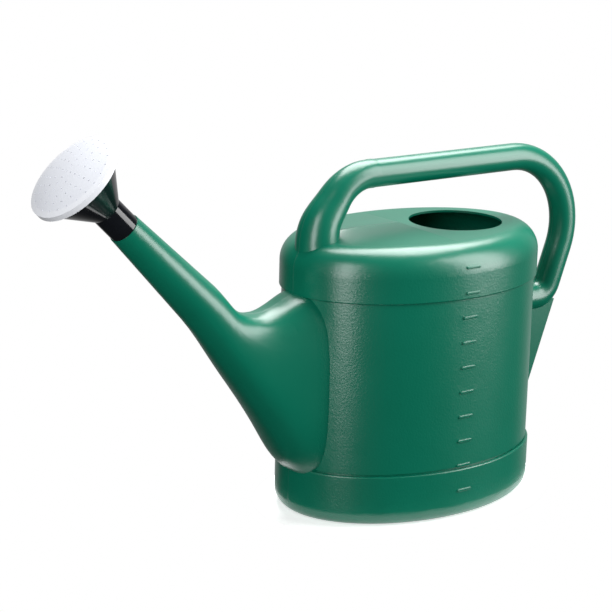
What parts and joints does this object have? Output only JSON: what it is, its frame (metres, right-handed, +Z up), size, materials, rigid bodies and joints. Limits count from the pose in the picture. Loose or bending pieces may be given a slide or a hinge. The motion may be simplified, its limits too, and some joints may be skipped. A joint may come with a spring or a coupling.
{
  "type": "watering can",
  "caption": "Oval moulded watering can with a looped tube handle, a round filler hole, litre marks down one side and a long spout with a push-in sprinkler rose.",
  "frame": {"origin": "middle of the tank's base, on the surface it stands on", "axes": "+Z up; the spout points along -X and the handle's rear leg along +X; the litre marks face -Y"},
  "size_m": [0.618, 0.1971, 0.3856],
  "materials": {
    "green_plastic": "satin blow-moulded polyethylene with a fine grain",
    "black_plastic": "glossy injection-moulded polypropylene",
    "white_plastic": "smooth injection-moulded polypropylene, slightly cool white",
    "seal_rubber": "plain black rubber"
  },
  "bodies": {
    "can": {"can_body": "green_plastic"},
    "seal": {"rose_seal": "seal_rubber"},
    "rose": {"rose_cone": "black_plastic"},
    "face": {"rose_face": "white_plastic"}
  },
  "joints": [
    {"name": "rose_pull", "type": "slide", "parent": "can", "child": "seal", "axis": [-0.7071, 0, 0.7071], "range_m": [0, 0.05]},
    {"name": "rose_turn", "type": "hinge", "parent": "seal", "child": "rose", "pos_m": [-0.3232, 0, 0.3029], "axis": [-0.7071, 0, 0.7071], "continuous": true},
    {"name": "face_pull", "type": "slide", "parent": "rose", "child": "face", "axis": [-0.7071, 0, 0.7071], "range_m": [0, 0.03]}
  ]
}
